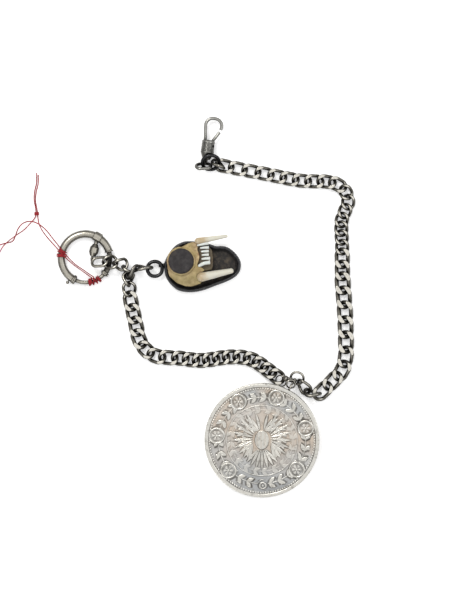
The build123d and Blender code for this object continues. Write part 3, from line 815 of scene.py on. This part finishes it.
LEDGE_LINE = (
    (1.4, 19.2), (2.35, 18.0), (2.66, 15.8), (2.66, 13.3), (2.3, 12.0), (0.4, 11.4), (-1.6, 11.6),
    (-3.0, 13.4), (-3.2, 16.4), (-2.8, 18.6), (-0.6, 19.4),
)
DISC_AT = (-7.3, 14.5)
DISC_R = 3.95
BOSS_R = 4.5                        # bone raised round the disc
DISC_TOP = 5.5
DISC_PROFILE = (                    # inset and height of each ring
    (0.15, 4.1), (0.0, 4.2), (0.0, 5.1), (0.15, DISC_TOP - 0.12), (0.45, DISC_TOP - 0.02),
    (0.9, DISC_TOP - 0.06), (2.0, DISC_TOP - 0.20), (3.0, DISC_TOP - 0.24),
)
BONE_FOOT = 1.0                     # height at which the bone starts
INCISORS = (                        # places from root to tip, then the radius at each
    (((1.3, 20.1, 4.3), (-0.4, 19.95, 4.5), (-2.3, 19.35, 4.5)), (0.55, 0.56, 0.30)),
    (((1.35, 18.75, 4.3), (0.2, 18.75, 4.45), (-1.4, 18.55, 4.4)), (0.50, 0.48, 0.26)),
    (((1.35, 17.6, 4.3), (0.2, 17.6, 4.45), (-1.1, 17.45, 4.4)), (0.48, 0.46, 0.26)),
    (((1.35, 16.5, 4.3), (0.2, 16.5, 4.45), (-0.9, 16.35, 4.4)), (0.46, 0.46, 0.26)),
    (((1.75, 15.35, 4.3), (0.4, 15.35, 4.45), (-0.95, 15.15, 4.4)), (0.54, 0.52, 0.28)),
    (
        ((1.75, 14.1, 4.3), (0.1, 13.95, 4.45), (-1.2, 13.3, 4.4), (-1.9, 12.9, 4.3)),
        (0.62, 0.62, 0.58, 0.36),
    ),
)
NECK = ((-14.3, 13.15, 1.1), (-13.0, 13.1, 1.3), (-12.2, 13.1, 1.4))

tray_dish = shell("tray_dish", smooth_ring(TRAY_LINE, 8), TRAY_PROFILE)
tray_dish.modifiers.new("finer", "SUBSURF").levels = 2
settled(tray_dish)
neck = peg("tray_neck", NECK, (0.55, 0.62, 0.9))
tray = joined("tray_form", [tray_dish, neck])


def tray_material():
    """Blackened metal, brown and flecked on the floor of the tray."""
    net = Net("blackened_tray")
    low = net.ramp(net.along("Z"), 1.2 * MM, 2.6 * MM)
    grain = net.ramp(net.noise(900.0, 6.0, 0.7), 0.45, 0.75)
    inside = net.mix(grain, (0.012, 0.010, 0.009), (0.075, 0.058, 0.042))
    tan = net.ramp(net.noise(330.0, 3.0), 0.56, 0.70)
    inside = net.mix(net.maths("MULTIPLY", tan, 0.6), inside, (0.12, 0.092, 0.060))
    rim = net.mix(grain, (0.010, 0.010, 0.012), (0.040, 0.041, 0.045))
    colour = net.mix(low, inside, rim)
    net.bump(net.noise(1300.0, 6.0, 0.65), 0.00012, 0.8)
    return net.finish(colour, 0.15, net.ramp(low, 0.0, 1.0, 0.72, 0.36))


pendant_piece(tray, tray_material(), "pendant_tray")

jaw_blocks = [
    shell("jaw_block", smooth_ring(JAW_LINE, 5), ((0.0, BONE_FOOT), (0.0, 4.3))),
    shell("ledge_block", smooth_ring(LEDGE_LINE, 5), ((0.0, BONE_FOOT), (0.0, 3.2))),
    shell("disc_boss", circle(DISC_AT, BOSS_R, 39), ((0.0, BONE_FOOT), (0.0, 5.0))),
]
jaw = sculpt(joined("jaw_bone_form", jaw_blocks), 0.00013, 9, ((0.0018, 0.00045), (0.0006, 0.0002)))
pendant_piece(jaw, bone_material(), "jaw_bone")


def disc_material():
    """Dull black with faint brown streaks."""
    net = Net("disc_black")
    grain = net.ramp(net.noise(700.0, 6.0, 0.7), 0.42, 0.72)
    colour = net.mix(grain, (0.026, 0.023, 0.024), (0.054, 0.049, 0.049))
    streak = net.ramp(net.noise(420.0, 3.0, 0.5, 0.5, (2.2, 0.5, 1.0)), 0.58, 0.68)
    colour = net.mix(net.maths("MULTIPLY", streak, 0.5), colour, (0.062, 0.047, 0.034))
    net.bump(net.noise(1500.0, 5.0), 0.0001, 0.6)
    net.shader.inputs["Specular IOR Level"].default_value = 0.2
    return net.finish(colour, 0.0, 0.6)


disc = shell("disc_form", circle(DISC_AT, DISC_R, 64), DISC_PROFILE)
disc.data.shade_smooth()
pendant_piece(disc, disc_material(), "jaw_disc")

canines = sculpt(welded_copy("canine_teeth", "canines"), 0.00010, 4, ((0.0020, 0.00012),))
pendant_piece(
    canines, tooth_material("canine_enamel", (0.63, 0.605, 0.51), (0.46, 0.36, 0.22), -1.6, 1.8),
    "canines",
)
teeth = [peg(f"incisor_{k}", spots, radii) for k, (spots, radii) in enumerate(INCISORS)]
incisors = sculpt(joined("incisor_teeth", teeth), 0.00007, 3, ((0.0009, 0.00008),))
pendant_piece(
    incisors, tooth_material("incisor_enamel", (0.64, 0.665, 0.63), (0.50, 0.48, 0.39), 2.6, 1.0),
    "incisors",
)


# ---- thread wound on the ring ----
RING_AT = (-37.25, 15.43, 1.5)
RING_R = 7.6
WOUND_R = 0.15                      # radius of the wound thread
WOUND_LOW = 0.16                    # its middle comes no nearer to the floor
PER_TURN = 12                       # points in one turn round the tube


def wound(name, from_angle, to_angle, turns, radius, jitter, seed):
    """Thread wound unevenly along part of the ring."""
    rng = np.random.default_rng(seed)
    count = turns * PER_TURN
    data, spline = round_curve(name, WOUND_R * MM, 2, "POLY", count + 1)
    drift = np.cumsum(rng.normal(0, 1, count + 1)) / math.sqrt(count)
    for k, point in enumerate(spline.points):
        share = k / count
        back_and_forth = 0.5 - 0.5 * math.cos(share * 3 * math.pi)
        angle = math.radians(from_angle + (to_angle - from_angle) * back_and_forth + 1.2 * drift[k])
        roll = 2 * math.pi * k / PER_TURN
        r = radius + jitter * abs(math.sin(3.1 * share * turns + drift[k]))
        out = RING_R + r * math.cos(roll)
        x = RING_AT[0] + out * math.cos(angle)
        y = RING_AT[1] + out * math.sin(angle)
        z = max(RING_AT[2] + r * math.sin(roll), WOUND_LOW)
        point.co = (*mm(x, y, z), 1.0)
    made = from_curve(name, data)
    made.data.shade_smooth()
    made.data.materials.append(THREAD)
    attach(made, "ring")
    return made


wound("thread_on_tube", 163.0, 176.0, 9, 1.33, 0.16, 3)
hitch = wound("thread_hitch_wraps", -80.0, -54.0, 15, 0.77, 0.34, 5)
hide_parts("thread_hitch")


# ---- floor ----
FLOOR_HALF = 2.0                    # half width
FLOOR_GLOW = 0.30                   # keeps the paper white in the shade of the pieces

floor_mesh = bpy.data.meshes.new("floor")
floor_corners = [(i * FLOOR_HALF, j * FLOOR_HALF, 0) for i, j in ((-1, -1), (1, -1), (1, 1), (-1, 1))]
floor_mesh.from_pydata(floor_corners, [], [(0, 1, 2, 3)])
floor = placed("floor", floor_mesh)
paper = Net("paper")
paper.bump(paper.noise(900.0, 3.0), 0.00002, 0.2)
paper.shader.inputs["Emission Color"].default_value = (1.0, 1.0, 1.0, 1.0)
paper.shader.inputs["Emission Strength"].default_value = FLOOR_GLOW
floor_mesh.materials.append(paper.finish((0.97, 0.97, 0.97), 0.0, 0.9))
